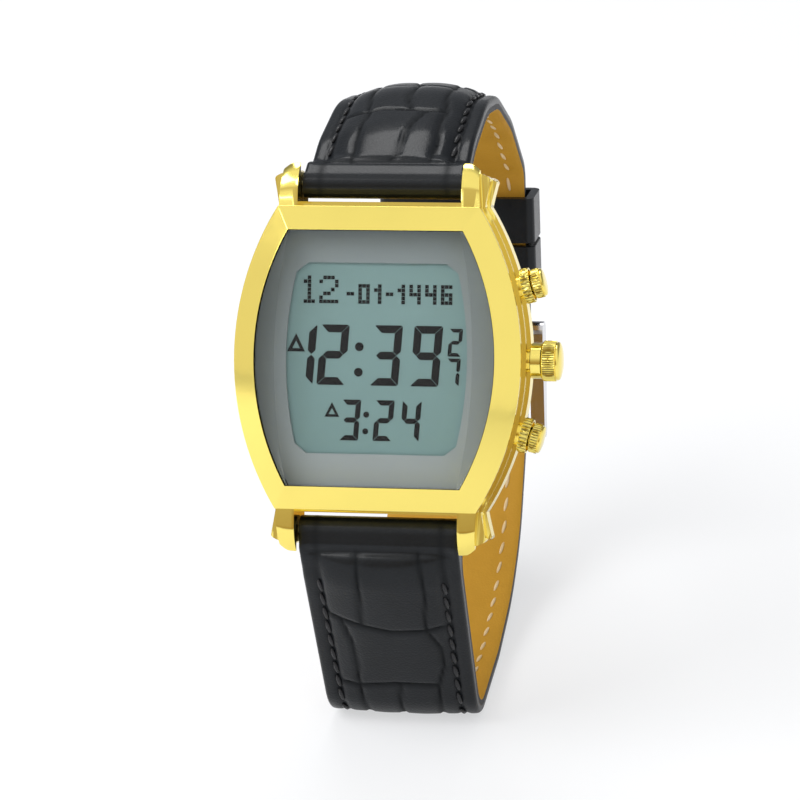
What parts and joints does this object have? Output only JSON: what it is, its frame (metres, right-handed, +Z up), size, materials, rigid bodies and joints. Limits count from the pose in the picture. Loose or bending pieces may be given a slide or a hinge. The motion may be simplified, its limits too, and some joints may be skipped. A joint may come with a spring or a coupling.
{
  "type": "digital prayer-time wristwatch",
  "caption": "Digital prayer-time wristwatch with a gold tonneau case, liquid crystal display, crown and pushers on a buckled black padded leather strap.",
  "frame": {"origin": "middle of the level stretch of strap that the watch stands on, on its lower face", "axes": "+Z up, the dial faces -Y and leans back 22 degrees, +X towards 3 o'clock"},
  "size_m": [0.0409, 0.0719, 0.0757],
  "materials": {
    "gold_plate": "mirror-polished gold plate",
    "crystal_glass": "polished mineral glass",
    "display_glass": "satin liquid crystal panel",
    "mask_grey": "printed satin grey",
    "seal_rubber": "matt",
    "connector_rubber": "matt",
    "board_green": "solder mask",
    "chip_black": "moulded epoxy",
    "frame_white": "moulded",
    "piezo_brass": "bare",
    "buckle_steel": "polished",
    "padding_felt": "foam",
    "tan_leather": "smooth lining calf",
    "black_leather": "crocodile-embossed, semi-gloss",
    "plain_steel": "turned"
  },
  "bodies": {
    "watch": {"battery": "plain_steel", "battery_clip": "plain_steel", "bezel": "gold_plate", "buckle_bar": "buckle_steel", "case_back": "plain_steel", "case_back_screws": "plain_steel", "case_body": "gold_plate", "case_gasket": "seal_rubber", "circuit_board": "board_green", "contact_springs": "plain_steel", "controller_chip": "chip_black", "crown_spring": "plain_steel", "crown_tube": "gold_plate", "crystal": "crystal_glass", "crystal_gasket": "seal_rubber", "dial_mask": "mask_grey", "fixed_keeper": "black_leather", "lcd_panel": "display_glass", "lower_bar_spring": "plain_steel", "lower_bar_tube": "plain_steel", "lower_pusher_spring": "plain_steel", "lower_pusher_tube": "gold_plate", "lower_strap_cover": "black_leather", "lower_strap_lining": "tan_leather", "lower_strap_padding": "padding_felt", "module_frame": "frame_white", "piezo_speaker": "piezo_brass", "quartz_oscillator": "plain_steel", "upper_bar_spring": "plain_steel", "upper_bar_tube": "plain_steel", "upper_pusher_spring": "plain_steel", "upper_pusher_tube": "gold_plate", "upper_strap_cover": "black_leather", "upper_strap_lining": "tan_leather", "upper_strap_padding": "padding_felt", "zebra_connectors": "connector_rubber"},
    "crown": {"crown_cap": "gold_plate", "crown_stem": "plain_steel", "crown_gasket": "seal_rubber", "crown_clip": "plain_steel"},
    "upper_pusher": {"upper_pusher_cap": "gold_plate", "upper_pusher_stem": "plain_steel", "upper_pusher_gasket": "seal_rubber", "upper_pusher_clip": "plain_steel"},
    "lower_pusher": {"lower_pusher_cap": "gold_plate", "lower_pusher_stem": "plain_steel", "lower_pusher_gasket": "seal_rubber", "lower_pusher_clip": "plain_steel"},
    "upper_left_bar_tip": {"upper_left_bar_tip": "plain_steel"},
    "upper_right_bar_tip": {"upper_right_bar_tip": "plain_steel"},
    "lower_left_bar_tip": {"lower_left_bar_tip": "plain_steel"},
    "lower_right_bar_tip": {"lower_right_bar_tip": "plain_steel"},
    "buckle_frame": {"buckle_frame": "buckle_steel"},
    "buckle_tongue": {"buckle_tongue": "buckle_steel"},
    "free_keeper": {"free_keeper": "black_leather"}
  },
  "joints": [
    {"name": "crown_press", "type": "slide", "parent": "watch", "child": "crown", "axis": [-1, 0, 0], "range_m": [0, 0.0006], "stiffness_N_per_m": 800, "springref_m": -0.0005, "deforming": ["crown_spring"]},
    {"name": "upper_pusher_press", "type": "slide", "parent": "watch", "child": "upper_pusher", "axis": [-0.9675, -0.0947, -0.2344], "range_m": [0, 0.0006], "stiffness_N_per_m": 800, "springref_m": -0.0005, "deforming": ["upper_pusher_spring"]},
    {"name": "lower_pusher_press", "type": "slide", "parent": "watch", "child": "lower_pusher", "axis": [-0.9675, 0.0947, 0.2344], "range_m": [0, 0.0006], "stiffness_N_per_m": 800, "springref_m": -0.0005, "deforming": ["lower_pusher_spring"]},
    {"name": "upper_left_tip_retract", "type": "slide", "parent": "watch", "child": "upper_left_bar_tip", "axis": [1, 0, 0], "range_m": [0, 0.0011], "stiffness_N_per_m": 500, "springref_m": -0.0008, "deforming": ["upper_bar_spring"]},
    {"name": "upper_right_tip_retract", "type": "slide", "parent": "watch", "child": "upper_right_bar_tip", "axis": [-1, 0, 0], "range_m": [0, 0.0011], "stiffness_N_per_m": 500, "springref_m": -0.0008, "deforming": ["upper_bar_spring"]},
    {"name": "lower_left_tip_retract", "type": "slide", "parent": "watch", "child": "lower_left_bar_tip", "axis": [1, 0, 0], "range_m": [0, 0.0011], "stiffness_N_per_m": 500, "springref_m": -0.0008, "deforming": ["lower_bar_spring"]},
    {"name": "lower_right_tip_retract", "type": "slide", "parent": "watch", "child": "lower_right_bar_tip", "axis": [-1, 0, 0], "range_m": [0, 0.0011], "stiffness_N_per_m": 500, "springref_m": -0.0008, "deforming": ["lower_bar_spring"]},
    {"name": "buckle_frame_lift", "type": "hinge", "parent": "watch", "child": "buckle_frame", "pos_m": [0, 0.045, 0.03191], "axis": [1, 0, 0], "range_deg": [0, 3]},
    {"name": "buckle_tongue_lift", "type": "hinge", "parent": "buckle_frame", "child": "buckle_tongue", "pos_m": [0, 0.045, 0.03191], "axis": [1, 0, 0], "range_deg": [0, 3]},
    {"name": "free_keeper_slide", "type": "slide", "parent": "watch", "child": "free_keeper", "axis": [0, 0.1225, 0.9925], "range_m": [-0.0003, 0.002]}
  ]
}
